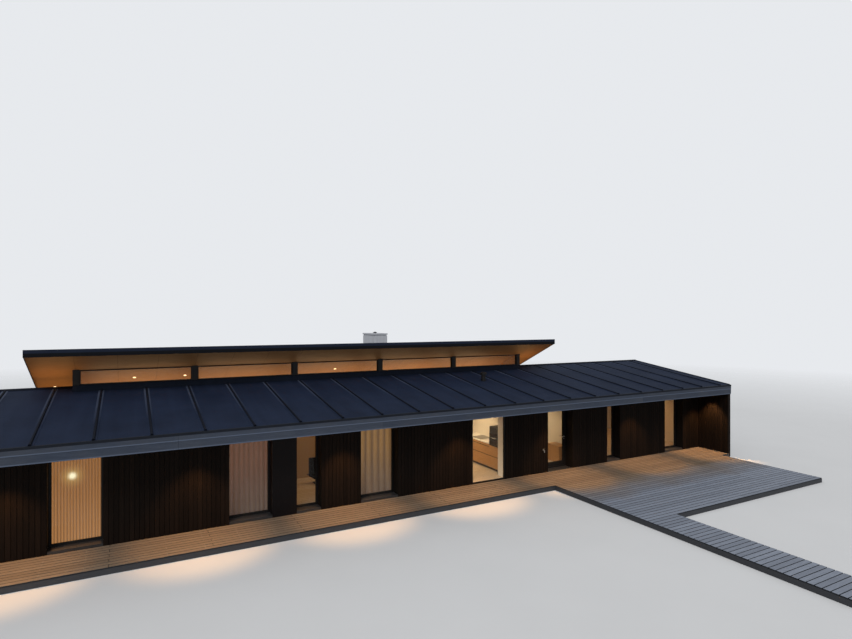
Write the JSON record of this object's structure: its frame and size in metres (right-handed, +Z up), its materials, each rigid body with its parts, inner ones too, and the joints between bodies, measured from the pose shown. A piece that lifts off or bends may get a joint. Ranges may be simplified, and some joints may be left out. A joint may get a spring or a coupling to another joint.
{
  "type": "beach house",
  "caption": "Long single-storey timber house with a low felt roof, a raised roof over a window band, deep eaves, a terrace door and a timber deck with a walkway.",
  "frame": {"origin": "on the ground under the middle of the ridge, on the underside of the floor slab", "axes": "+X along the front towards the terrace end, +Y from the front to the back, +Z up"},
  "size_m": [29.3, 17.26, 4.838],
  "materials": {
    "concrete": "cast, plain",
    "floor_boards": "pale oiled boards",
    "plaster": "smooth painted plaster",
    "black_boards": "black-stained upright boards",
    "smooth_black": "smooth black-stained panel",
    "roof_felt": "slate-grey roofing felt",
    "grey_wood": "weathered grey boards",
    "deck_wood": "weathered deck boards",
    "pine": "oiled pine boards",
    "black_metal": "satin black",
    "glass": "clear",
    "lamp": "lit, warm white",
    "oak": "oiled oak",
    "white_top": "white, satin",
    "black_glass": "black glass front",
    "steel": "brushed",
    "curtain": "woven linen",
    "white_paint": "white, satin",
    "chimney_render": "pale grey render"
  },
  "bodies": {
    "house": {"floor_slab": "concrete", "inner_floor": "floor_boards", "inner_walls": "plaster", "front_wall_left": "black_boards", "front_wall_middle": "black_boards", "front_wall_right": "black_boards", "smooth_panel": "smooth_black", "back_wall": "black_boards", "end_walls": "black_boards", "fin_walls": "black_boards", "lintels": "black_boards", "front_roof": "roof_felt", "back_roof": "roof_felt", "roof_battens": "roof_felt", "eave_fascias": "grey_wood", "verge_boards": "grey_wood", "eave_soffits": "pine", "lamps": "lamp", "upper_posts": "black_metal", "upper_upstand": "roof_felt", "upper_frames": "black_metal", "upper_glass": "glass", "upper_cheeks": "black_boards", "upper_roof": "pine", "upper_fascia": "black_metal", "chimney": "chimney_render", "roof_vent": "black_metal", "window_frames": "black_metal", "window_glass": "glass", "window_sills": "deck_wood", "door_frame": "black_metal", "front_deck": "deck_wood", "terrace": "deck_wood", "walkway": "deck_wood", "deck_joists": "deck_wood", "kitchen_units": "oak", "worktop": "white_top", "oven": "black_glass", "bench": "oak", "curtain_rails": "white_paint", "curtains": "curtain", "garden_tap": "steel"},
    "terrace_door": {"door_leaf": "black_metal", "door_glass": "glass", "door_handle": "steel"}
  },
  "joints": [
    {"name": "terrace_door_hinge", "type": "hinge", "parent": "house", "child": "terrace_door", "pos_m": [6.695, -2.938, 0.198], "axis": [0, 0, -1], "range_deg": [0, 90]}
  ]
}
